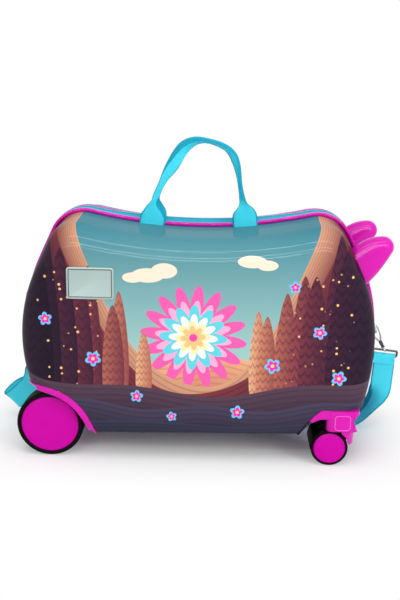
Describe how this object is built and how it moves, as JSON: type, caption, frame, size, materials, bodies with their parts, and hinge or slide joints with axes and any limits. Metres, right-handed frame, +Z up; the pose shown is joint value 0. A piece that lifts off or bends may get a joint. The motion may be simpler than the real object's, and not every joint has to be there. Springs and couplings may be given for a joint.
{
  "type": "ride-on suitcase",
  "caption": "Hard-shell ride-on suitcase for a child, with pink rear wheels and casters, pink grip horns, a turquoise webbing handle and a tow strap.",
  "frame": {"origin": "centre of the bounding box on the floor, strap left out", "axes": "+X to the front, where the grip horns and casters are; +Z up; -Y is the half with the carry handle"},
  "size_m": [0.5497, 0.216, 0.4012],
  "materials": {
    "printed_shell": "glossy printed film over a thin moulded shell",
    "pink_plastic": "moulded plastic, semi-gloss",
    "turquoise_webbing": "woven tape",
    "black_rubber": "soft matt rubber",
    "black_plastic": "fine grain moulded plastic",
    "steel": "plain turned steel",
    "nickel_hardware": "nickel plated zinc",
    "black_webbing": "woven tape"
  },
  "bodies": {
    "far_half": {"far_shell": "printed_shell", "far_rim": "pink_plastic", "far_zip_tape": "turquoise_webbing", "far_hinge_strip": "turquoise_webbing", "far_horn": "pink_plastic", "far_rear_housing": "pink_plastic", "far_rear_axle": "steel", "far_front_bracket": "pink_plastic", "far_caster_socket": "black_plastic", "packing_straps": "black_webbing", "packing_buckles": "black_plastic", "front_tow_tab": "turquoise_webbing", "front_tow_ring": "nickel_hardware", "rear_tow_tab": "turquoise_webbing", "rear_tow_ring": "nickel_hardware", "snap_hook": "nickel_hardware", "strap_ring": "nickel_hardware", "tow_strap": "turquoise_webbing"},
    "near_half": {"near_shell": "printed_shell", "near_rim": "pink_plastic", "near_zip_tape": "turquoise_webbing", "near_hinge_strip": "turquoise_webbing", "near_horn": "pink_plastic", "near_rear_housing": "pink_plastic", "near_rear_axle": "steel", "near_front_bracket": "pink_plastic", "near_caster_socket": "black_plastic", "handle_patches": "turquoise_webbing"},
    "carry_handle": {"carry_handle": "turquoise_webbing"},
    "near_rear_wheel": {"near_rear_wheel_hub": "pink_plastic", "near_rear_wheel_tyre": "black_rubber"},
    "near_caster": {"near_caster_fork": "black_plastic", "near_caster_stem": "steel", "near_caster_crown": "pink_plastic", "near_caster_axle": "steel"},
    "near_caster_outer_wheel": {"near_caster_outer_wheel_hub": "pink_plastic", "near_caster_outer_wheel_tyre": "black_rubber"},
    "near_caster_inner_wheel": {"near_caster_inner_wheel_hub": "pink_plastic", "near_caster_inner_wheel_tyre": "black_rubber"},
    "far_rear_wheel": {"far_rear_wheel_hub": "pink_plastic", "far_rear_wheel_tyre": "black_rubber"},
    "far_caster": {"far_caster_fork": "black_plastic", "far_caster_stem": "steel", "far_caster_crown": "pink_plastic", "far_caster_axle": "steel"},
    "far_caster_outer_wheel": {"far_caster_outer_wheel_hub": "pink_plastic", "far_caster_outer_wheel_tyre": "black_rubber"},
    "far_caster_inner_wheel": {"far_caster_inner_wheel_hub": "pink_plastic", "far_caster_inner_wheel_tyre": "black_rubber"},
    "upper_slider": {"upper_zip_slider": "nickel_hardware"},
    "upper_pull": {"upper_zip_slider_pull": "nickel_hardware"},
    "lower_slider": {"lower_zip_slider": "nickel_hardware"},
    "lower_pull": {"lower_zip_slider_pull": "nickel_hardware"},
    "snap_gate": {"snap_gate": "nickel_hardware"}
  },
  "joints": [
    {"name": "case_open", "type": "hinge", "parent": "far_half", "child": "near_half", "pos_m": [0, 0, 0.0227], "axis": [0.9998, 0, 0.0217], "range_deg": [0, 95]},
    {"name": "carry_handle_fold", "type": "hinge", "parent": "near_half", "child": "carry_handle", "pos_m": [0, -0.0227, 0.3025], "axis": [1, 0, 0], "range_deg": [-70, 85]},
    {"name": "near_rear_wheel_spin", "type": "hinge", "parent": "near_half", "child": "near_rear_wheel", "pos_m": [-0.18699, -0.079, 0.0425], "axis": [0, 1, 0], "continuous": true},
    {"name": "near_caster_swivel", "type": "hinge", "parent": "near_half", "child": "near_caster", "pos_m": [0.178, -0.079, 0.047], "axis": [0, 0, 1], "continuous": true},
    {"name": "near_caster_outer_wheel_spin", "type": "hinge", "parent": "near_caster", "child": "near_caster_outer_wheel", "pos_m": [0.1695, -0.095, 0.0234], "axis": [0, 1, 0], "continuous": true},
    {"name": "near_caster_inner_wheel_spin", "type": "hinge", "parent": "near_caster", "child": "near_caster_inner_wheel", "pos_m": [0.1695, -0.063, 0.0234], "axis": [0, 1, 0], "continuous": true},
    {"name": "far_rear_wheel_spin", "type": "hinge", "parent": "far_half", "child": "far_rear_wheel", "pos_m": [-0.18699, 0.079, 0.0425], "axis": [0, 1, 0], "continuous": true},
    {"name": "far_caster_swivel", "type": "hinge", "parent": "far_half", "child": "far_caster", "pos_m": [0.178, 0.079, 0.047], "axis": [0, 0, 1], "continuous": true},
    {"name": "far_caster_outer_wheel_spin", "type": "hinge", "parent": "far_caster", "child": "far_caster_outer_wheel", "pos_m": [0.1695, 0.095, 0.0234], "axis": [0, 1, 0], "continuous": true},
    {"name": "far_caster_inner_wheel_spin", "type": "hinge", "parent": "far_caster", "child": "far_caster_inner_wheel", "pos_m": [0.1695, 0.063, 0.0234], "axis": [0, 1, 0], "continuous": true},
    {"name": "upper_slider_run", "type": "hinge", "parent": "far_half", "child": "upper_slider", "pos_m": [-0.017, 0, 0.155], "axis": [0, 1, 0], "range_deg": [0, 11]},
    {"name": "upper_pull_swing", "type": "hinge", "parent": "upper_slider", "child": "upper_pull", "pos_m": [-0.23182, 0, 0.19095], "axis": [0, 1, 0], "range_deg": [0, 100]},
    {"name": "lower_slider_run", "type": "hinge", "parent": "far_half", "child": "lower_slider", "pos_m": [-0.017, 0, 0.155], "axis": [0, 1, 0], "range_deg": [-23, 0]},
    {"name": "lower_pull_swing", "type": "hinge", "parent": "lower_slider", "child": "lower_pull", "pos_m": [-0.2348, 0, 0.1569], "axis": [0, 1, 0], "range_deg": [0, 100]},
    {"name": "snap_gate_swing", "type": "hinge", "parent": "far_half", "child": "snap_gate", "pos_m": [0.2496, 0.033, 0.13613], "axis": [0, 1, 0], "range_deg": [-8, 0], "stiffness_Nm_per_rad": 0.02, "springref_deg": 2.86}
  ]
}
